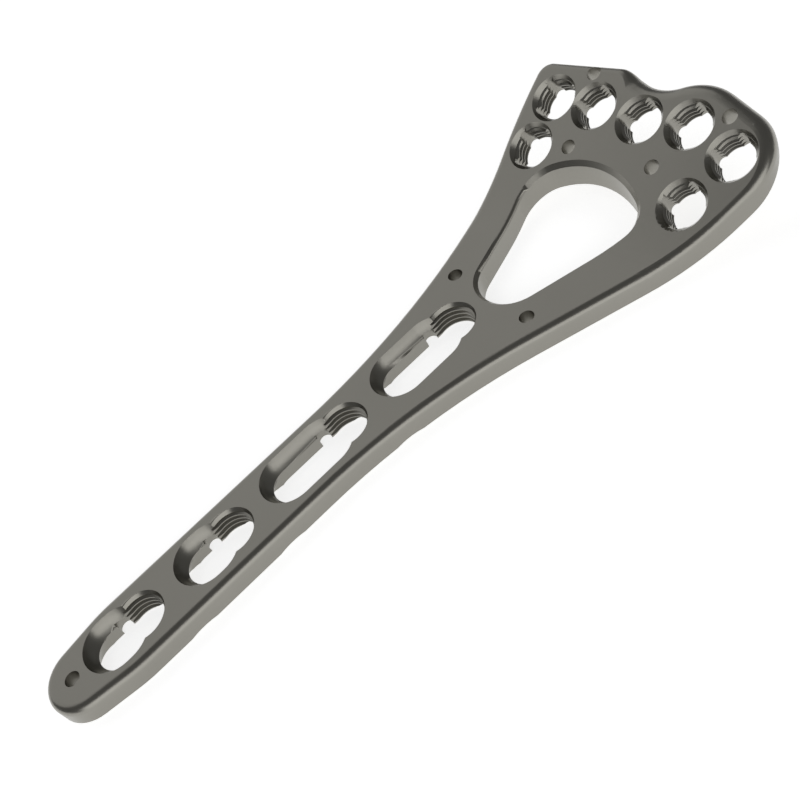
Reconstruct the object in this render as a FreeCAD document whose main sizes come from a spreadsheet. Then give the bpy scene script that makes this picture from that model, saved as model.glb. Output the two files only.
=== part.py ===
# Volar locking plate for the wrist: one machined piece with a flat shaft and a raised head.
# Frame: +Z up, the shaft's flat underside on Z = 0, +Y from the shaft's tip to the head.
# The origin is the lower mouth of the pin hole at the tip. Lengths in mm, angles in degrees.
import FreeCAD, Part
import math
import os
import re
import Sketcher
from FreeCAD import Placement, Rotation, Vector

os.makedirs("parts", exist_ok=True)
doc = FreeCAD.newDocument("WristPlate")

# Driving sizes
SIZES = [
    # The shaft, its tip and the rounded edges
    ("plate_thickness", 2.0),
    ("shaft_width", 6.9),
    ("shaft_across", 0.1),
    ("tip_radius", 2.9),
    ("tip_reach", 2.25),
    ("tip_taper", 9.0),
    ("shoulder_radius", 12.0),
    ("edge_radius", 0.65),
    ("under_edge_bevel", 0.25),
    ("rolled_rim_radius", 1.2),
    # The bend that lifts the head
    ("bend_start", 45.9),
    ("bend_radius", 14.2),
    ("bend_angle", 25.4),
    ("head_turn", 8.05),
    # Outline of neck and head, counted along the plate from the start of the bend
    ("right_neck_below_bend", 24.8),
    ("right_neck_radius", 52.0),
    ("right_flank_angle", 20.4),
    ("right_corner_radius", 4.2),
    ("right_slope_angle", 12.1),
    ("right_lobe_across", 6.08),
    ("right_lobe_reach", 16.41),
    ("right_lobe_radius", 5.25),
    ("notch_radius", 4.75),
    ("left_lobe_across", -1.25),
    ("left_lobe_reach", 15.0),
    ("left_lobe_radius", 5.3),
    ("left_slope_angle", 12.2),
    ("left_corner_radius", 1.3),
    ("left_brow_across", -9.95),
    ("left_brow_radius", 42.0),
    ("left_flank_angle", 19.5),
    ("left_neck_below_bend", 21.3),
    ("left_neck_radius", 60.0),
    # The window in the neck
    ("window_small_radius", 2.95),
    ("window_small_across", 0.68),
    ("window_small_below_bend", 2.6),
    ("window_left_angle", 20.2),
    ("window_right_angle", 17.8),
    ("window_left_corner_radius", 3.0),
    ("window_right_corner_radius", 2.2),
    ("window_top_radius", 8.0),
    ("window_top_across", 1.2),
    ("window_top_above_bend", 7.73),
    ("window_edge_bevel", 0.3),
    # Shaft holes: a threaded end and a dished slot for a sliding screw
    ("first_hole_along", 6.15),
    ("short_pitch", 8.5),
    ("long_pitch", 11.25),
    ("thread_diameter", 3.5),
    ("thread_rim_diameter", 4.1),
    ("thread_rim_depth", 0.45),
    ("slot_width", 3.45),
    ("seat_width", 4.85),
    ("seat_depth", 1.0),
    ("seat_to_thread", 2.0),
    ("short_travel", 0.5),
    ("long_travel", 3.4),
    ("relief_diameter", 1.05),
    ("relief_across", 1.95),
    ("relief_along", 1.35),
    ("relief_below_top", 0.8),
    # Shallow hollows under the shaft, between its holes
    ("hollow_depth", 0.38),
    ("hollow_length", 4.0),
    # Head holes, square to the head: a cone over a bore with four run-outs in its wall
    ("head_hole_rim", 4.03),
    ("head_hole_bore", 3.0),
    ("head_hole_cone_depth", 0.7),
    ("run_out_diameter", 0.95),
    ("run_out_reach", 1.85),
    ("pin_diameter", 1.2),
]

# Head holes in the head's own plane, from the end of the bend:
# name, across, along the slope, turn of the run-outs
HEAD_HOLES = [
    ("corner_hole", 1.23, 5.6, 45.0),
    ("second_hole", 5.26, 5.62, 0.0),
    ("third_hole", 9.72, 5.3, 0.0),
    ("fourth_hole", 14.02, 5.67, 0.0),
    ("fifth_hole", 18.32, 4.09, 0.0),
    ("left_row_hole", 1.02, 1.43, 60.0),
    ("right_row_hole", 16.2, -0.08, 0.0),
]

# Pin holes: name, across, along
SHAFT_PINS = [
    ("tip_pin", 0.0, 0.0),
    ("left_neck_pin", -3.49, 40.7),
    ("right_neck_pin", 4.98, 40.65),
]
HEAD_PINS = [
    ("left_head_pin", 4.6, 2.03),
    ("right_head_pin", 12.53, 2.01),
    ("left_rim_pin", 3.98, 8.15),
    ("right_rim_pin", 16.89, 6.83),
]

# How far the cutting tools run past the metal
OVERRUN = 1.0
ABOVE_HEAD = 12.0

sheet = doc.addObject("Spreadsheet::Sheet", "Sizes")
rows = list(SIZES)
for name, across, along, turn in HEAD_HOLES:
    rows.append((name + "_across", across))
    rows.append((name + "_along", along))
    rows.append((name + "_turn", turn))
for name, across, along in SHAFT_PINS + HEAD_PINS:
    rows.append((name + "_across", across))
    rows.append((name + "_along", along))
rows.append(("overrun", OVERRUN))
rows.append(("above_head", ABOVE_HEAD))
for number, (alias, value) in enumerate(rows, start=1):
    sheet.set("A%d" % number, alias)
    sheet.set("B%d" % number, str(value))
    sheet.setAlias("B%d" % number, alias)
ALIASES = {alias for alias, value in rows}
doc.recompute()


def in_sheet(expression):
    return re.sub(r"[a-z_]+", lambda m: "Sizes." + m[0] if m[0] in ALIASES else m[0], expression)


def size(expression):
    value = sheet.evalExpression(in_sheet(expression))
    return float(getattr(value, "Value", value))


def heading(angle):
    return Vector(math.cos(math.radians(angle)), math.sin(math.radians(angle)), 0)


def crossing(p, p_heading, q, q_heading):
    gap = q - p
    across = p_heading.cross(q_heading).z
    return p + p_heading * (gap.cross(q_heading).z / across)


def run_to(start, direction, centre, distance):
    # The point ahead of start that lies at this distance from the centre
    offset = start - centre
    ahead = offset.dot(direction)
    return start + direction * (math.sqrt(ahead ** 2 - offset.dot(offset) + distance ** 2) - ahead)


class Outline:
    """A closed loop of lines and arcs that meet tangentially, walked counterclockwise."""

    def __init__(self, body, name, role):
        self.sketch = body.newObject("Sketcher::SketchObject", name)
        plane = [f for f in body.Origin.OriginFeatures if f.Role == role][0]
        self.sketch.AttachmentSupport = [(plane, "")]
        self.sketch.MapMode = "FlatFace"
        self.walk = []

    def line(self, start, end):
        index = self.sketch.addGeometry(Part.LineSegment(start, end))
        self.walk.append((index, 1, 2))
        return index

    def arc(self, centre, start, end, hollow=False):
        first, last = (end, start) if hollow else (start, end)
        radius = (start - centre).Length
        first_angle = math.atan2(first.y - centre.y, first.x - centre.x)
        last_angle = math.atan2(last.y - centre.y, last.x - centre.x)
        circle = Part.Circle(centre, Vector(0, 0, 1), radius)
        index = self.sketch.addGeometry(Part.ArcOfCircle(circle, first_angle, last_angle))
        self.walk.append((index, 2, 1) if hollow else (index, 1, 2))
        return index

    def rule(self, kind, places, expression=None):
        if expression is None:
            return self.sketch.addConstraint(Sketcher.Constraint(kind, *places))
        value = size(expression)
        if kind == "Angle":
            value = math.radians(value)
        index = self.sketch.addConstraint(Sketcher.Constraint(kind, *places, value))
        self.sketch.setExpression("Constraints[%d]" % index, in_sheet(expression))
        return index

    def place(self, piece, end, across=None, along=None):
        if across is not None:
            self.rule("DistanceX", (-1, 1, piece, end), across)
        if along is not None:
            self.rule("DistanceY", (-1, 1, piece, end), along)

    def close(self, kind="Tangent"):
        following = self.walk[1:] + self.walk[:1]
        for (piece, enter, leave), (other, other_enter, other_leave) in zip(self.walk, following):
            self.rule(kind, (piece, leave, other, other_enter))


# Plan outline, padded and then cut to the side profile
body = doc.addObject("PartDesign::Body", "Blank")
plan = Outline(body, "PlanOutline", "XY_Plane")
middle = size("shaft_across")
right_x = size("shaft_across + shaft_width / 2")
left_x = size("shaft_across - shaft_width / 2")
taper = size("tip_taper")
tip_centre = Vector(middle, size("tip_radius - tip_reach"), 0)
tip_right = tip_centre + heading(-taper) * size("tip_radius")
tip_left = Vector(2 * middle - tip_right.x, tip_right.y, 0)
shoulder = crossing(tip_right, heading(90 - taper), Vector(right_x, 0, 0), heading(90))
shoulder_run = size("shoulder_radius") * math.tan(math.radians(taper / 2))
shoulder_low = shoulder - heading(90 - taper) * shoulder_run
shoulder_high = shoulder + Vector(0, shoulder_run, 0)
shoulder_centre = shoulder_high - Vector(size("shoulder_radius"), 0, 0)
flank = size("right_flank_angle")
neck_low = Vector(right_x, size("bend_start - right_neck_below_bend"), 0)
neck_centre = neck_low + Vector(size("right_neck_radius"), 0, 0)
neck_high = neck_centre + heading(180 - flank) * size("right_neck_radius")
slope = size("right_slope_angle")
lobe = Vector(size("right_lobe_across"), size("bend_start + right_lobe_reach - right_lobe_radius"), 0)
lobe_low = lobe + heading(90 - slope) * size("right_lobe_radius")
corner = crossing(neck_high, heading(90 - flank), lobe_low, heading(180 - slope))
corner_run = size("right_corner_radius") * math.tan(math.radians((90 + flank - slope) / 2))
corner_low = corner - heading(90 - flank) * corner_run
corner_high = corner + heading(180 - slope) * corner_run
corner_centre = corner_low + heading(180 - flank) * size("right_corner_radius")
left_lobe = Vector(size("left_lobe_across"), size("bend_start + left_lobe_reach - left_lobe_radius"), 0)
between = left_lobe - lobe
right_span = size("right_lobe_radius + notch_radius")
left_span = size("left_lobe_radius + notch_radius")
foot = (right_span ** 2 - left_span ** 2 + between.Length ** 2) / (2 * between.Length)
aside = Vector(between.y, -between.x, 0).normalize() * math.sqrt(right_span ** 2 - foot ** 2)
notch = lobe + between * (foot / between.Length) + aside
notch_right = lobe + (notch - lobe).normalize() * size("right_lobe_radius")
notch_left = left_lobe + (notch - left_lobe).normalize() * size("left_lobe_radius")
left_slope = size("left_slope_angle")
left_lobe_low = left_lobe + heading(90 + left_slope) * size("left_lobe_radius")
left_flank = size("left_flank_angle")
left_neck_low = Vector(left_x, size("bend_start - left_neck_below_bend"), 0)
left_neck_centre = left_neck_low - Vector(size("left_neck_radius"), 0, 0)
left_neck_high = left_neck_centre + heading(left_flank) * size("left_neck_radius")
brow_radius = size("left_brow_radius")
brow_depth = brow_radius * (1 - math.cos(math.radians(left_flank)))
brow_run = left_neck_high.x - size("left_brow_across") - brow_depth
brow_low = left_neck_high + heading(90 + left_flank) * (brow_run / math.sin(math.radians(left_flank)))
brow_centre = brow_low + heading(left_flank) * brow_radius
small = size("left_corner_radius")
inner = left_lobe + heading(90 + left_slope) * (size("left_lobe_radius") - small)
left_corner = run_to(inner, heading(180 + left_slope), brow_centre, brow_radius - small)
left_corner_top = left_corner + heading(90 + left_slope) * small
left_corner_low = left_corner + (left_corner - brow_centre).normalize() * small

tip_arc = plan.arc(tip_centre, tip_left, tip_right)
right_taper = plan.line(tip_right, shoulder_low)
right_shoulder = plan.arc(shoulder_centre, shoulder_low, shoulder_high)
right_side = plan.line(shoulder_high, neck_low)
right_neck = plan.arc(neck_centre, neck_low, neck_high, hollow=True)
right_flank = plan.line(neck_high, corner_low)
right_corner = plan.arc(corner_centre, corner_low, corner_high)
right_slope = plan.line(corner_high, lobe_low)
right_lobe = plan.arc(lobe, lobe_low, notch_right)
notch_arc = plan.arc(notch, notch_right, notch_left, hollow=True)
left_lobe_arc = plan.arc(left_lobe, notch_left, left_lobe_low)
left_slope_line = plan.line(left_lobe_low, left_corner_top)
left_corner_arc = plan.arc(left_corner, left_corner_top, left_corner_low)
left_brow = plan.arc(brow_centre, left_corner_low, brow_low)
left_flank_line = plan.line(brow_low, left_neck_high)
left_neck = plan.arc(left_neck_centre, left_neck_high, left_neck_low, hollow=True)
left_shoulder_high = Vector(left_x, shoulder_high.y, 0)
left_shoulder_low = Vector(2 * middle - shoulder_low.x, shoulder_low.y, 0)
left_shoulder_centre = Vector(2 * middle - shoulder_centre.x, shoulder_centre.y, 0)
left_side = plan.line(left_neck_low, left_shoulder_high)
left_shoulder = plan.arc(left_shoulder_centre, left_shoulder_high, left_shoulder_low)
left_taper = plan.line(left_shoulder_low, tip_left)
plan.close()
plan.place(tip_arc, 3, "shaft_across", "tip_radius - tip_reach")
plan.rule("Radius", (tip_arc,), "tip_radius")
plan.rule("Angle", (right_taper,), "90 - tip_taper")
plan.rule("Angle", (left_taper,), "tip_taper - 90")
plan.rule("Radius", (right_shoulder,), "shoulder_radius")
plan.rule("Radius", (left_shoulder,), "shoulder_radius")
plan.rule("Vertical", (right_side,))
plan.rule("Vertical", (left_side,))
plan.place(right_side, 2, "shaft_across + shaft_width / 2", "bend_start - right_neck_below_bend")
plan.place(left_side, 1, "shaft_across - shaft_width / 2", "bend_start - left_neck_below_bend")
plan.rule("Radius", (right_neck,), "right_neck_radius")
plan.rule("Radius", (left_neck,), "left_neck_radius")
plan.rule("Angle", (right_flank,), "90 - right_flank_angle")
plan.rule("Angle", (left_flank_line,), "left_flank_angle - 90")
plan.rule("Radius", (right_corner,), "right_corner_radius")
plan.rule("Radius", (left_corner_arc,), "left_corner_radius")
plan.rule("Angle", (right_slope,), "180 - right_slope_angle")
plan.rule("Angle", (left_slope_line,), "left_slope_angle - 180")
plan.rule("Radius", (right_lobe,), "right_lobe_radius")
plan.rule("Radius", (left_lobe_arc,), "left_lobe_radius")
plan.rule("Radius", (notch_arc,), "notch_radius")
plan.rule("Radius", (left_brow,), "left_brow_radius")
plan.place(right_lobe, 3, "right_lobe_across", "bend_start + right_lobe_reach - right_lobe_radius")
plan.place(left_lobe_arc, 3, "left_lobe_across", "bend_start + left_lobe_reach - left_lobe_radius")
plan.place(left_brow, 3, across="left_brow_across + left_brow_radius")


def pad(body, sketch, name, length):
    feature = body.newObject("PartDesign::Pad", name)
    feature.Profile = sketch
    feature.setExpression("Length", in_sheet(length))
    return feature


def pocket(body, sketch, name):
    # Cuts right through in both directions from the sketch
    feature = body.newObject("PartDesign::Pocket", name)
    feature.Profile = sketch
    feature.SideType = "Symmetric"
    feature.Type = "ThroughAll"
    return feature


pad(body, plan.sketch, "OutlinePad", "plate_thickness + above_head")

# The window: a teardrop between two straight sides, wide at the head
window = Outline(body, "WindowOutline", "XY_Plane")
small_centre = Vector(size("window_small_across"), size("bend_start - window_small_below_bend"), 0)
small_radius = size("window_small_radius")
top_radius = size("window_top_radius")
top_along = size("bend_start + window_top_above_bend - window_top_radius")
top_centre = Vector(size("window_top_across"), top_along, 0)
left_radius = size("window_left_corner_radius")
right_radius = size("window_right_corner_radius")
right_angle = size("window_right_angle")
left_angle = size("window_left_angle")
right_start = small_centre + heading(-right_angle) * small_radius
left_start = small_centre + heading(180 + left_angle) * small_radius
right_inner = small_centre + heading(-right_angle) * (small_radius - right_radius)
left_inner = small_centre + heading(180 + left_angle) * (small_radius - left_radius)
right_centre = run_to(right_inner, heading(90 - right_angle), top_centre, top_radius - right_radius)
left_centre = run_to(left_inner, heading(90 + left_angle), top_centre, top_radius - left_radius)
right_end = right_centre + heading(-right_angle) * right_radius
left_end = left_centre + heading(180 + left_angle) * left_radius
right_top = right_centre + (right_centre - top_centre).normalize() * right_radius
left_top = left_centre + (left_centre - top_centre).normalize() * left_radius
small_arc = window.arc(small_centre, left_start, right_start)
right_line = window.line(right_start, right_end)
right_arc = window.arc(right_centre, right_end, right_top)
top_arc = window.arc(top_centre, right_top, left_top)
left_arc = window.arc(left_centre, left_top, left_end)
left_line = window.line(left_end, left_start)
window.close()
window.place(small_arc, 3, "window_small_across", "bend_start - window_small_below_bend")
window.rule("Radius", (small_arc,), "window_small_radius")
window.rule("Angle", (right_line,), "90 - window_right_angle")
window.rule("Angle", (left_line,), "window_left_angle - 90")
window.rule("Radius", (right_arc,), "window_right_corner_radius")
window.rule("Radius", (left_arc,), "window_left_corner_radius")
window.place(top_arc, 3, "window_top_across", "bend_start + window_top_above_bend - window_top_radius")
window.rule("Radius", (top_arc,), "window_top_radius")
pocket(body, window.sketch, "Window")

# Side profile, square to the line of the bend: what lies over the top face and under the
# bottom face is cut away. Both faces share the bend's centre, so the wall keeps its thickness.
side = Outline(body, "SideProfile", "YZ_Plane")
side.sketch.AttachmentOffset = Placement(Vector(), Rotation(Vector(0, 1, 0), size("head_turn")))
side.sketch.setExpression("AttachmentOffset.Rotation.Angle", in_sheet("head_turn"))
bend_centre = Vector(size("bend_start"), size("plate_thickness + bend_radius"), 0)
rise = size("bend_angle")
far = size("bend_start + right_lobe_reach + above_head")
before = -size("above_head")
profiles = [
    ("plate_thickness", "bend_radius", "above_head * 2"),
    ("0", "bend_radius + plate_thickness", "-overrun"),
]
for level, radius, outer in profiles:
    bend_low = Vector(size("bend_start"), size(level), 0)
    bend_high = bend_centre + heading(rise - 90) * size(radius)
    slope_end = crossing(bend_high, heading(rise), Vector(far, 0, 0), heading(90))
    far_end = Vector(far, size(outer), 0)
    near_end = Vector(before, size(outer), 0)
    start = Vector(before, bend_low.y, 0)
    flat = side.line(start, bend_low)
    bend = side.arc(bend_centre, bend_low, bend_high)
    slope_line = side.line(bend_high, slope_end)
    end_line = side.line(slope_end, far_end)
    back_line = side.line(far_end, near_end)
    start_line = side.line(near_end, start)
    for piece, following in ((flat, bend), (bend, slope_line)):
        side.rule("Tangent", (piece, 2, following, 1))
    corners = [(slope_line, end_line), (end_line, back_line), (back_line, start_line), (start_line, flat)]
    for piece, following in corners:
        side.rule("Coincident", (piece, 2, following, 1))
    side.rule("Horizontal", (flat,))
    side.rule("Vertical", (end_line,))
    side.rule("Horizontal", (back_line,))
    side.rule("Vertical", (start_line,))
    side.place(flat, 1, "-above_head")
    side.place(bend, 3, "bend_start", "plate_thickness + bend_radius")
    side.rule("Radius", (bend,), radius)
    side.rule("Angle", (slope_line,), "bend_angle")
    side.place(slope_line, 2, "bend_start + right_lobe_reach + above_head")
    side.place(back_line, 2, along=outer)
pocket(body, side.sketch, "SideCut")

doc.recompute()


# The edges. A small bevel breaks the underside's outer edge and the window's rim on top.
# The outer rim on top is rounded. An outer edge borders just one face of its own side.
TOUCH = 0.01
STEEPEST_FACE = 70.0


def faces_of_side(shape, up):
    found = []
    for face in shape.Faces:
        u_low, u_high, v_low, v_high = face.ParameterRange
        normal = face.normalAt((u_low + u_high) / 2, (v_low + v_high) / 2)
        if normal.z * up > math.cos(math.radians(STEEPEST_FACE)):
            found.append(face)
    return found


def in_window(edge):
    middle = edge.valueAt((edge.FirstParameter + edge.LastParameter) / 2)
    flat_middle = Part.Vertex(Vector(middle.x, middle.y, 0))
    return window.sketch.Shape.distToShape(flat_middle)[0] < TOUCH


def rim_edges(shape, up, round_window):
    # The edges of one side, either round the window or round the outside
    faces = faces_of_side(shape, up)
    for number, edge in enumerate(shape.Edges, start=1):
        touching = sum(any(edge.isSame(other) for other in face.Edges) for face in faces)
        if touching == 1 and in_window(edge) == round_window:
            yield number, edge


def rim_radius(point):
    # The rim of the head's end is rolled, and its roundness fades over the left lobe and the right corner
    rolled = (corner_high, lobe_low, notch_right, notch_left)
    near = any(math.hypot(point.x - end.x, point.y - end.y) < TOUCH for end in rolled)
    return size("rolled_rim_radius" if near else "edge_radius")


bevels = []
for up, round_window, width in ((-1, False, "under_edge_bevel"), (1, True, "window_edge_bevel")):
    for number, edge in rim_edges(body.Shape, up, round_window):
        bevels.append((number, size(width), size(width)))
bevelled = doc.addObject("Part::Chamfer", "BevelledBlank")
bevelled.Base = body
bevelled.Edges = bevels
doc.recompute()
rounds = []
for number, edge in rim_edges(bevelled.Shape, 1, False):
    start_radius = rim_radius(edge.valueAt(edge.FirstParameter))
    end_radius = rim_radius(edge.valueAt(edge.LastParameter))
    rounds.append((number, start_radius, end_radius))
rounded = doc.addObject("Part::Fillet", "RoundedBlank")
rounded.Base = bevelled
rounded.Edges = rounds
doc.recompute()


# Cutting tools, each made once at the origin with the top face on Z = 0
def cylinder(name, diameter, bottom, height, x="0", y="0"):
    tool = doc.addObject("Part::Cylinder", name)
    tool.setExpression("Radius", in_sheet("(%s) / 2" % diameter))
    tool.setExpression("Height", in_sheet(height))
    tool.setExpression("Placement.Base.x", in_sheet(x))
    tool.setExpression("Placement.Base.y", in_sheet(y))
    tool.setExpression("Placement.Base.z", in_sheet(bottom))
    return tool


def rim_cone(name, rim, bore, depth):
    tool = doc.addObject("Part::Cone", name)
    tool.setExpression("Radius1", in_sheet("%s / 2" % bore))
    spread = "overrun * (%s - %s) / 2 / %s" % (rim, bore, depth)
    tool.setExpression("Radius2", in_sheet("%s / 2 + %s" % (rim, spread)))
    tool.setExpression("Height", in_sheet("%s + overrun" % depth))
    tool.setExpression("Placement.Base.z", in_sheet("-%s" % depth))
    return tool


def fuse(name, tools):
    union = doc.addObject("Part::MultiFuse", name)
    union.Shapes = tools
    return union


THROUGH = "plate_thickness + 2 * overrun"
BELOW = "-plate_thickness - overrun"
RELIEF = "plate_thickness + overrun - relief_below_top"


def combination_tool(name, travel):
    far_end = "-seat_to_thread - %s" % travel
    # The seat is part of a ball, swept along the slot
    ball_height = "((seat_width ^ 2 - slot_width ^ 2) / 4 - seat_depth ^ 2) / (2 * seat_depth)"
    ball_radius = "sqrt(seat_width ^ 2 / 4 + (%s) ^ 2)" % ball_height
    bore = cylinder(name + "Bore", "thread_diameter", BELOW, THROUGH)
    cone = rim_cone(name + "Rim", "thread_rim_diameter", "thread_diameter", "thread_rim_depth")
    end = cylinder(name + "SlotEnd", "slot_width", BELOW, THROUGH, y=far_end)
    slot = doc.addObject("Part::Box", name + "Slot")
    slot.setExpression("Length", in_sheet("slot_width"))
    slot.setExpression("Width", in_sheet("seat_to_thread + %s" % travel))
    slot.setExpression("Height", in_sheet(THROUGH))
    slot.setExpression("Placement.Base.x", in_sheet("-slot_width / 2"))
    slot.setExpression("Placement.Base.y", in_sheet(far_end))
    slot.setExpression("Placement.Base.z", in_sheet(BELOW))
    tools = [bore, cone, end, slot]
    for which, along in (("Far", far_end), ("Near", "-seat_to_thread")):
        ball = doc.addObject("Part::Sphere", name + which + "Ball")
        ball.setExpression("Radius", in_sheet(ball_radius))
        ball.setExpression("Placement.Base.y", in_sheet(along))
        ball.setExpression("Placement.Base.z", in_sheet(ball_height))
        tools.append(ball)
    trough = doc.addObject("Part::Cylinder", name + "Trough")
    trough.Placement = Placement(Vector(), Rotation(Vector(1, 0, 0), -90))
    trough.setExpression("Radius", in_sheet(ball_radius))
    trough.setExpression("Height", in_sheet(travel))
    trough.setExpression("Placement.Base.y", in_sheet(far_end))
    trough.setExpression("Placement.Base.z", in_sheet(ball_height))
    tools.append(trough)
    for side_name, across in (("Right", "relief_across"), ("Left", "-relief_across")):
        relief_name = name + side_name + "Relief"
        tools.append(cylinder(relief_name, "relief_diameter", BELOW, RELIEF, across, "-relief_along"))
    return fuse(name, tools)


def locking_tool(name):
    tools = [cylinder(name + "Bore", "head_hole_bore", BELOW, THROUGH)]
    tools.append(rim_cone(name + "Rim", "head_hole_rim", "head_hole_bore", "head_hole_cone_depth"))
    for quarter in range(4):
        x = "(run_out_reach - run_out_diameter / 2) * cos(%d)" % (90 * quarter)
        y = "(run_out_reach - run_out_diameter / 2) * sin(%d)" % (90 * quarter)
        tools.append(cylinder("%sRunOut%d" % (name, quarter), "run_out_diameter", BELOW, THROUGH, x, y))
    return fuse(name, tools)


def placed(name, tool, x, y, z, turn="rotation(0; 0; 0)"):
    link = doc.addObject("App::Link", name)
    link.LinkedObject = tool
    link.setExpression("Placement", in_sheet("placement(vector(%s; %s; %s); %s)" % (x, y, z, turn)))
    return link


short_tool = combination_tool("ShortSlotTool", "short_travel")
long_tool = combination_tool("LongSlotTool", "long_travel")
pin_tool = doc.addObject("Part::Compound", "PinTool")
pin_tool.Links = [cylinder("PinBore", "pin_diameter", BELOW, THROUGH)]
head_tool = locking_tool("HeadHoleTool")

# Where the shaft holes' threads lie, and how far each slot lets its screw slide
first = "first_hole_along"
second = "first_hole_along + short_pitch"
third = "first_hole_along + short_pitch + long_pitch"
fourth = "first_hole_along + short_pitch + 2 * long_pitch"
shaft_cuts = [
    placed("TipCombination", short_tool, "0", first, "plate_thickness"),
    placed("SecondCombination", short_tool, "0", second, "plate_thickness"),
    placed("ThirdCombination", long_tool, "0", third, "plate_thickness"),
    placed("NeckCombination", long_tool, "0", fourth, "plate_thickness"),
]
for name, across, along in SHAFT_PINS:
    shaft_cuts.append(placed(name, pin_tool, name + "_across", name + "_along", "plate_thickness"))
head_cuts = []
for name, across, along, turn in HEAD_HOLES:
    turned = "rotation(%s_turn; 0; 0)" % name
    head_cuts.append(placed(name, head_tool, name + "_across", name + "_along", "0", turned))
for name, across, along in HEAD_PINS:
    head_cuts.append(placed(name, pin_tool, name + "_across", name + "_along", "0"))

# The head's own frame: its origin is where the bend ends on the top face
in_head = doc.addObject("Part::Compound", "HeadCuts")
in_head.Links = head_cuts
head_run = "(bend_start + bend_radius * sin(bend_angle))"
head_x = "-%s * sin(head_turn)" % head_run
head_y = "%s * cos(head_turn)" % head_run
head_z = "plate_thickness + bend_radius * (1 - cos(bend_angle))"
head_place = "placement(vector(%s; %s; %s); rotation(head_turn; 0; bend_angle))" % (head_x, head_y, head_z)
in_head.setExpression("Placement", in_sheet(head_place))
in_shaft = doc.addObject("Part::Compound", "ShaftCuts")
in_shaft.Links = shaft_cuts

# Hollows under the shaft, midway between one hole's threads and the next hole's slot
hollow_radius = "(hollow_length ^ 2 / 4 + hollow_depth ^ 2) / (2 * hollow_depth)"
webs = [(first, second, "short_travel"), (second, third, "long_travel"), (third, fourth, "long_travel")]
hollows = []
for number, (near, following, travel) in enumerate(webs, start=1):
    low = "%s + thread_rim_diameter / 2" % near
    high = "%s - seat_to_thread - %s - seat_width / 2" % (following, travel)
    hollow = doc.addObject("Part::Cylinder", "Hollow%d" % number)
    hollow.Placement = Placement(Vector(), Rotation(Vector(0, 1, 0), 90))
    hollow.setExpression("Radius", in_sheet(hollow_radius))
    hollow.setExpression("Height", in_sheet("shaft_width + 2 * overrun"))
    hollow.setExpression("Placement.Base.x", in_sheet("shaft_across - shaft_width / 2 - overrun"))
    hollow.setExpression("Placement.Base.y", in_sheet("(%s + %s) / 2" % (low, high)))
    hollow.setExpression("Placement.Base.z", in_sheet("hollow_depth - " + hollow_radius))
    hollows.append(hollow)
hollowed = doc.addObject("Part::Cut", "HollowedBlank")
hollowed.Base = rounded
hollowed.Tool = fuse("UnderHollows", hollows)

shaft_cut = doc.addObject("Part::Cut", "ShaftHoles")
shaft_cut.Base = hollowed
shaft_cut.Tool = in_shaft
plate = doc.addObject("Part::Cut", "BonePlate")
plate.Base = shaft_cut
plate.Tool = in_head
plate.Label = "bone_plate"
doc.recompute()

for obj in doc.Objects:
    if "Invalid" in obj.State or "Error" in obj.State:
        raise RuntimeError("%s: %s" % (obj.Name, obj.getStatusString()))
shape = plate.Shape
if shape.isNull() or not shape.isValid() or len(shape.Solids) != 1:
    raise RuntimeError("the plate is not one valid solid")
shape.exportStep("parts/%s.step" % plate.Label)
print("%s: %.1f mm3" % (plate.Label, shape.Volume))
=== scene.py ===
import math

import bmesh
import bpy
from mathutils import Matrix, Quaternion, Vector
from mathutils.bvhtree import BVHTree
from mathutils.geometry import barycentric_transform


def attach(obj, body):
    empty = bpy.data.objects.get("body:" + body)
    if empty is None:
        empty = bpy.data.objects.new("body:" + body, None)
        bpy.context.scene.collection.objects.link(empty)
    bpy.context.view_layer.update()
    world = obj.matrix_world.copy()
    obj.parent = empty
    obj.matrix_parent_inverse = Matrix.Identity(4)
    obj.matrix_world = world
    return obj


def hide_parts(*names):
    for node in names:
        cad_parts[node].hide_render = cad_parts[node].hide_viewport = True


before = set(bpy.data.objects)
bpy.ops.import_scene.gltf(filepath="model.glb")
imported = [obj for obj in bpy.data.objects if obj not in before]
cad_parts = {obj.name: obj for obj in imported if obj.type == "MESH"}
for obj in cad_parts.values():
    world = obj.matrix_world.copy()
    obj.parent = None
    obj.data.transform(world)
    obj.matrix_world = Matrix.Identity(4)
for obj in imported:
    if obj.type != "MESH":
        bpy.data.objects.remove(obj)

bpy.context.view_layer.update()


# The plate
# One volar wrist plate of titanium alloy, milled from one blank, its head bent up from the shaft and its
# edges rounded by tumbling. It starts as a merged copy of the CAD solid, and cutters and taps finish it.
# All sizes in this file are in millimetres.
MM = 0.001
PLATE_THICKNESS = 2.0
SAME_POINT = 0.001
FLAT_ANGLE = math.radians(0.5)

blank = bmesh.new()
blank.from_mesh(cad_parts["bone_plate"].data)
bmesh.ops.remove_doubles(blank, verts=blank.verts, dist=SAME_POINT * MM)
bmesh.ops.dissolve_limit(blank, angle_limit=FLAT_ANGLE, verts=blank.verts, edges=blank.edges)
plate_mesh = bpy.data.meshes.new("plate")
blank.to_mesh(plate_mesh)
blank.free()


def add_cutter(cutters, tool, place):
    data = bpy.data.meshes.new("tool")
    tool.to_mesh(data)
    tool.free()
    before = len(cutters.verts)
    cutters.from_mesh(data)
    bpy.data.meshes.remove(data)
    cutters.verts.ensure_lookup_table()
    bmesh.ops.transform(cutters, matrix=place, verts=cutters.verts[before:])


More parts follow.
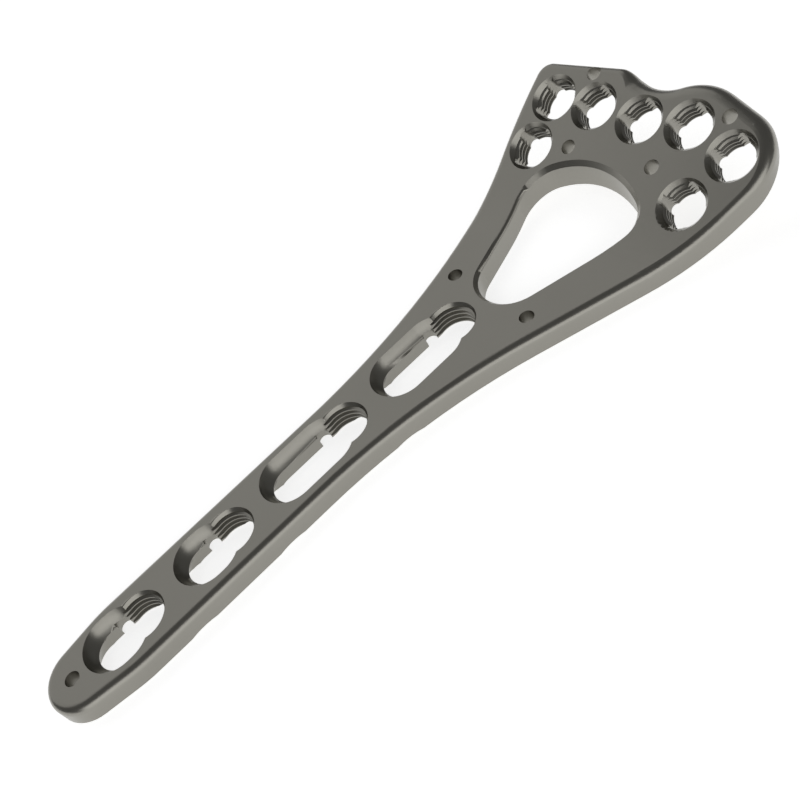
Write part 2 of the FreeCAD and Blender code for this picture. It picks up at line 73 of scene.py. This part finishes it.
def cut_away(mesh, cutters, name):
    data = bpy.data.meshes.new(name)
    cutters.to_mesh(data)
    cutters.free()
    cutter = bpy.data.objects.new(name, data)
    uncut = bpy.data.objects.new("uncut plate", mesh)
    for each in (cutter, uncut):
        bpy.context.collection.objects.link(each)
    cut = uncut.modifiers.new(name, "BOOLEAN")
    cut.operation = "DIFFERENCE"
    cut.object = cutter
    cut.solver = "EXACT"
    bpy.context.view_layer.update()
    result = bpy.data.meshes.new_from_object(uncut.evaluated_get(bpy.context.evaluated_depsgraph_get()))
    bpy.data.objects.remove(cutter)
    bpy.data.objects.remove(uncut)
    return result


# The far end of each slot is relieved from below by a slanted cutter, so that a sliding screw can lean in
# it. A row gives where a shaft hole's thread is along the shaft, its slot's travel and its cutter's slant.
SHAFT_HOLES = ((6.15, 0.5, 32), (14.65, 0.5, 45), (25.9, 3.4, 48), (37.15, 3.4, 48))
SEAT_TO_THREAD = 2.0
SEAT_DEPTH = 1.0
SLANTED_RADIUS = 1.7
SLANTED_LENGTH = 4.0
SLANTED_SIDES = 64


def slanted_cutter(slant):
    rod = bmesh.new()
    bmesh.ops.create_cone(
        rod, cap_ends=True, segments=SLANTED_SIDES,
        radius1=SLANTED_RADIUS * MM, radius2=SLANTED_RADIUS * MM, depth=SLANTED_LENGTH * MM,
    )
    lean = Matrix.Identity(4)
    lean[1][2] = math.tan(math.radians(slant))
    below = Matrix.Translation((0, 0, -SLANTED_LENGTH / 2 * MM))
    bmesh.ops.transform(rod, matrix=lean @ below, verts=rod.verts)
    return rod


slants = bmesh.new()
for thread_along, travel, slant in SHAFT_HOLES:
    seat = Vector((0, thread_along - SEAT_TO_THREAD - travel, PLATE_THICKNESS - SEAT_DEPTH))
    add_cutter(slants, slanted_cutter(slant), Matrix.Translation(seat * MM))
plate_mesh = cut_away(plate_mesh, slants, "slanted cutters")

# The round ends of the shaft's holes and the head's seven holes are tapped, with a narrow flat on each
# crest. The head's holes are placed (across, along) on its own top face, which starts where the bend ends.
THREAD_PITCH = 0.42
THREAD_DEPTH = 0.3
THREAD_CREST = 0.08
TAP_STEPS = 48
TAP_SPARE_TURNS = 2
SHAFT_BORE = 1.755
HEAD_BORE = 1.505
HEAD_HOLES = (
    (1.23, 5.6), (5.26, 5.62), (9.72, 5.3), (14.02, 5.67), (18.32, 4.09), (1.02, 1.43), (16.2, -0.08),
)
BEND_START = 45.9
BEND_RADIUS = 14.2
BEND_ANGLE = math.radians(25.4)
HEAD_TURN = math.radians(8.05)


def tap(radius):
    # one pitch of the thread's section, wound into a rod that stands out above and below the plate
    rod = bmesh.new()
    groove = (THREAD_CREST + THREAD_PITCH) / 2
    section = ((radius, 0), (radius, -THREAD_CREST), (radius + THREAD_DEPTH, -groove), (radius, -THREAD_PITCH))
    corners = [rod.verts.new((across * MM, 0, (THREAD_PITCH + up) * MM)) for across, up in section]
    line = [rod.edges.new(pair) for pair in zip(corners, corners[1:])]
    turns = math.ceil(PLATE_THICKNESS / THREAD_PITCH) + TAP_SPARE_TURNS
    bmesh.ops.spin(
        rod, geom=corners + line, axis=(0, 0, 1), dvec=(0, 0, -THREAD_PITCH / TAP_STEPS * MM),
        angle=turns * 2 * math.pi, steps=turns * TAP_STEPS,
    )
    bmesh.ops.remove_doubles(rod, verts=rod.verts, dist=SAME_POINT * MM)
    bmesh.ops.holes_fill(rod, edges=[edge for edge in rod.edges if edge.is_boundary])
    bmesh.ops.recalc_face_normals(rod, faces=rod.faces)
    return rod


bend_end = Vector((
    0,
    BEND_START + BEND_RADIUS * math.sin(BEND_ANGLE),
    PLATE_THICKNESS + BEND_RADIUS * (1 - math.cos(BEND_ANGLE)),
))
head_place = (
    Matrix.Rotation(HEAD_TURN, 4, "Z")
    @ Matrix.Translation(bend_end * MM)
    @ Matrix.Rotation(BEND_ANGLE, 4, "X")
)
taps = bmesh.new()
for thread_along, _, _ in SHAFT_HOLES:
    add_cutter(taps, tap(SHAFT_BORE), Matrix.Translation(Vector((0, thread_along, PLATE_THICKNESS)) * MM))
for across, along in HEAD_HOLES:
    add_cutter(taps, tap(HEAD_BORE), head_place @ Matrix.Translation(Vector((across, along, 0)) * MM))
plate_mesh = cut_away(plate_mesh, taps, "taps")

# The faces that the cutters leave alone keep the smooth normals of the machined solid. The narrow bevels
# round the window and under the edges are tumbled round, so their normals turn from face to face.
SLIVER = 0.0005
SAME_SURFACE = 0.0015
SAME_FACING = 0.97
FACE_UNDER_CORNER = 0.95
HAIR = 0.005
HAIR_OF_SIDE = 0.1
BEVEL_CREASE = (math.radians(40), math.radians(50))
BEVEL_WIDTH = 0.45
SMOOTH_ANGLE = math.radians(47)


def machined_normals(mesh, solid):
    solid.calc_loop_triangles()
    spots = [point.co for point in solid.vertices]
    triangles = [tuple(triangle.vertices) for triangle in solid.loop_triangles]
    tree = BVHTree.FromPolygons(spots, triangles, all_triangles=True)
    solid_normals = [Vector(normal.vector) for normal in solid.corner_normals]

    def normal_at(corner):
        # looked up a hair inside the corner's own face, so that its neighbour isn't found instead
        sides = (corner.edge.calc_length(), corner.link_loop_prev.edge.calc_length())
        hair = min(HAIR * MM, *(HAIR_OF_SIDE * side for side in sides))
        _, facing, number, _ = tree.find_nearest(corner.vert.co + corner.calc_tangent() * hair)
        if facing.dot(corner.face.normal) < FACE_UNDER_CORNER:
            return corner.face.normal.copy()
        triangle = [spots[i] for i in triangles[number]]
        normals_there = [solid_normals[i] for i in solid.loop_triangles[number].loops]
        return barycentric_transform(corner.vert.co, *triangle, *normals_there).normalized()

    shaped = bmesh.new()
    shaped.from_mesh(mesh)
    bmesh.ops.dissolve_degenerate(shaped, dist=SLIVER * MM, edges=shaped.edges)
    bmesh.ops.holes_fill(shaped, edges=[edge for edge in shaped.edges if edge.is_boundary])
    machined = {}
    for face in shaped.faces:
        face.smooth = True
        _, facing, _, distance = tree.find_nearest(face.calc_center_median())
        if distance < SAME_SURFACE * MM and facing.dot(face.normal) > SAME_FACING:
            machined[face] = {corner.vert: normal_at(corner) for corner in face.loops}

    bevels = set()
    for edge in shaped.edges:
        sides = [face for face in edge.link_faces if face in machined]
        if len(sides) == 2:
            crease = machined[sides[0]][edge.verts[0]].angle(machined[sides[1]][edge.verts[0]])
            if BEVEL_CREASE[0] < crease < BEVEL_CREASE[1]:
                narrow = BEVEL_WIDTH * MM * edge.calc_length()
                bevels.update(face for face in sides if face.calc_area() < narrow)

    normals = []
    for face in shaped.faces:
        for corner in face.loops:
            if face in bevels:
                flat = machined[face][corner.vert]
                beside = [
                    machined[other][corner.vert] for other in corner.vert.link_faces
                    if other in machined and other not in bevels
                ]
                normals.append(min(beside, key=flat.angle, default=flat))
            elif face in machined:
                normals.append(machined[face][corner.vert])
            else:
                blend = Vector()
                for other in corner.vert.link_faces:
                    if other not in machined and other.normal.dot(face.normal) > math.cos(SMOOTH_ANGLE):
                        blend += other.normal * other.calc_area()
                normals.append(blend.normalized() if blend.length else face.normal.copy())
    shaped.to_mesh(mesh)
    shaped.free()
    mesh.normals_split_custom_set(normals)


machined_normals(plate_mesh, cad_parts["bone_plate"].data)

# Grade 5 titanium, bead-blasted and anodised to a satin grey: a fine even grain that spreads the highlights
# and a tone that hardly varies. The grain is drawn coarser than the real 0.05 mm, so that it shows.
PLATE_GREY = "#94928b"
PLATE_DEEP_GREY = "#8f8d86"
TONE_PATCH = 6.0
TONE_DETAIL = 3.0
BLAST_GRAIN = 0.22
BLAST_DETAIL = 2.0
BLAST_DEPTH = 0.004
BLAST_STRENGTH = 0.5
LEAST_ROUGHNESS = 0.27
MOST_ROUGHNESS = 0.33


def linear(hex_colour):
    channels = [int(hex_colour[i:i + 2], 16) / 255 for i in (1, 3, 5)]
    return [c / 12.92 if c <= 0.04045 else ((c + 0.055) / 1.055) ** 2.4 for c in channels] + [1.0]


def add_node(tree, kind, settings=(), values=(), links=()):
    node = tree.nodes.new(kind)
    for name, value in dict(settings).items():
        setattr(node, name, value)
    for name, value in dict(values).items():
        node.inputs[name].default_value = value
    for name, source in dict(links).items():
        tree.links.new(source, node.inputs[name])
    return node


titanium = bpy.data.materials.new("satin anodised titanium")
titanium.use_nodes = True
tree = titanium.node_tree
shader = tree.nodes["Principled BSDF"]
shader.inputs["Metallic"].default_value = 1.0
place = add_node(tree, "ShaderNodeTexCoord").outputs["Object"]
patches = add_node(
    tree, "ShaderNodeTexNoise",
    values={"Scale": 1 / (TONE_PATCH * MM), "Detail": TONE_DETAIL}, links={"Vector": place},
)
tone = add_node(
    tree, "ShaderNodeMix", {"data_type": "RGBA"},
    {"A": linear(PLATE_GREY), "B": linear(PLATE_DEEP_GREY)}, {"Factor": patches.outputs["Fac"]},
)
grain = add_node(
    tree, "ShaderNodeTexNoise",
    values={"Scale": 1 / (BLAST_GRAIN * MM), "Detail": BLAST_DETAIL}, links={"Vector": place},
)
gloss = add_node(
    tree, "ShaderNodeMapRange",
    values={"To Min": LEAST_ROUGHNESS, "To Max": MOST_ROUGHNESS}, links={"Value": grain.outputs["Fac"]},
)
bump = add_node(
    tree, "ShaderNodeBump",
    values={"Strength": BLAST_STRENGTH, "Distance": BLAST_DEPTH * MM}, links={"Height": grain.outputs["Fac"]},
)
tree.links.new(tone.outputs["Result"], shader.inputs["Base Color"])
tree.links.new(gloss.outputs["Result"], shader.inputs["Roughness"])
tree.links.new(bump.outputs["Normal"], shader.inputs["Normal"])

plate = bpy.data.objects.new("plate", plate_mesh)
bpy.context.collection.objects.link(plate)
plate.data.materials.clear()
plate.data.materials.append(titanium)
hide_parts("bone_plate")
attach(plate, "root")


# The table under the plate
# A plain white sheet. It lies a hair below the plate's underside, so that the two faces don't mix, and it
# is see-through from below, where the underside can be looked at.
TABLE_SIZE = 1200.0
TABLE_DROP = 0.02
TABLE_WHITE = "#f4f4f4"
TABLE_GLOW = 0.74

sheet = bmesh.new()
bmesh.ops.create_grid(sheet, x_segments=1, y_segments=1, size=TABLE_SIZE / 2 * MM)
bmesh.ops.translate(sheet, verts=sheet.verts, vec=(0, 0, -TABLE_DROP * MM))
sheet_mesh = bpy.data.meshes.new("table")
sheet.to_mesh(sheet_mesh)
sheet.free()
table = bpy.data.objects.new("table", sheet_mesh)
bpy.context.collection.objects.link(table)

# Dull white card. It glows only to the camera and in what mirrors it, so that it shows white there, and its
# own paint keeps the plate's shadow.
card = bpy.data.materials.new("white card")
card.use_nodes = True
tree = card.node_tree
tree.nodes.remove(tree.nodes["Principled BSDF"])
paint = add_node(tree, "ShaderNodeBsdfDiffuse", values={"Color": linear(TABLE_WHITE)})
rays = add_node(tree, "ShaderNodeLightPath").outputs
seen_plainly = add_node(
    tree, "ShaderNodeMath", {"operation": "MAXIMUM"},
    links={0: rays["Is Camera Ray"], 1: rays["Is Glossy Ray"]},
)
seen = add_node(
    tree, "ShaderNodeMath", {"operation": "MAXIMUM"},
    links={0: seen_plainly.outputs[0], 1: rays["Is Transmission Ray"]},
)
strength = add_node(
    tree, "ShaderNodeMath", {"operation": "MULTIPLY"}, {1: TABLE_GLOW}, {0: seen.outputs[0]},
)
glow = add_node(tree, "ShaderNodeEmission", links={"Strength": strength.outputs[0]})
front = add_node(tree, "ShaderNodeAddShader", links={0: paint.outputs[0], 1: glow.outputs[0]})
clear = add_node(tree, "ShaderNodeBsdfTransparent")
from_below = add_node(tree, "ShaderNodeNewGeometry").outputs["Backfacing"]
surface = add_node(
    tree, "ShaderNodeMixShader", links={0: from_below, 1: front.outputs[0], 2: clear.outputs[0]},
)
tree.links.new(surface.outputs[0], tree.nodes["Material Output"].inputs["Surface"])
table.data.materials.append(card)


# The room
# A dim room behind the lamps, which gives the metal its dark parts. What the camera sees of it is white.
ROOM_LEVEL = 0.15
ROOM_WHITE = "#ffffff"

room = bpy.data.worlds.new("room")
bpy.context.scene.world = room
room.use_nodes = True
tree = room.node_tree
level = add_node(
    tree, "ShaderNodeMapRange", values={"To Min": ROOM_LEVEL, "To Max": 1.0},
    links={"Value": add_node(tree, "ShaderNodeLightPath").outputs["Is Camera Ray"]},
)
background = tree.nodes["Background"]
background.inputs["Color"].default_value = linear(ROOM_WHITE)
tree.links.new(level.outputs["Result"], background.inputs["Strength"])


# The lamps
# Two softboxes at half a metre: one behind the plate, which its flat faces mirror, and a low one in front
# of its right side. A row gives the way to the lamp, its width and height in millimetres and its watts.
PLATE_MIDDLE = (2.0, 30.0, 2.0)
LAMP_DISTANCE = 500.0
SOFTBOXES = {
    "back softbox": ((-0.84, -0.075, 0.537), 900.0, 637.0, 0.9),
    "front softbox": ((0.908, -0.243, 0.342), 800.0, 364.0, 1.14),
}

for name, (way, width, height, watts) in SOFTBOXES.items():
    softbox = bpy.data.lights.new(name, "AREA")
    softbox.shape = "RECTANGLE"
    softbox.size = width * MM
    softbox.size_y = height * MM
    softbox.energy = watts
    lamp = bpy.data.objects.new(name, softbox)
    direction = Vector(way).normalized()
    lamp.location = (Vector(PLATE_MIDDLE) + direction * LAMP_DISTANCE) * MM
    lamp.rotation_euler = direction.to_track_quat("Z", "Y").to_euler()
    bpy.context.collection.objects.link(lamp)


# The camera
# It looks down on the plate from the shaft's right side, a little nearer to the tip than to the head, and
# is rolled so that the shaft runs up to the right in the picture.
AIM = Vector((2.26, 29.97, 2.0))
AIM_DISTANCE = 83.21
VIEW_DIRECTION = Vector((-0.68807, 0.18330, -0.70211))
ROLL = math.radians(-32.9)
FOCAL_LENGTH = 51.54
SENSOR_WIDTH = 36.0
NEAREST_SEEN = 5.0

camera_data = bpy.data.cameras.new("camera")
camera_data.lens = FOCAL_LENGTH
camera_data.sensor_width = SENSOR_WIDTH
camera_data.clip_start = NEAREST_SEEN * MM
camera = bpy.data.objects.new("camera", camera_data)
camera.location = (AIM - VIEW_DIRECTION * AIM_DISTANCE) * MM
turn = VIEW_DIRECTION.to_track_quat("-Z", "Y") @ Quaternion((0, 0, 1), ROLL)
camera.rotation_euler = turn.to_euler()
bpy.context.collection.objects.link(camera)
bpy.context.scene.camera = camera
bpy.context.scene.view_settings.view_transform = "Standard"


# The scene is brought up to date.
bpy.context.view_layer.update()
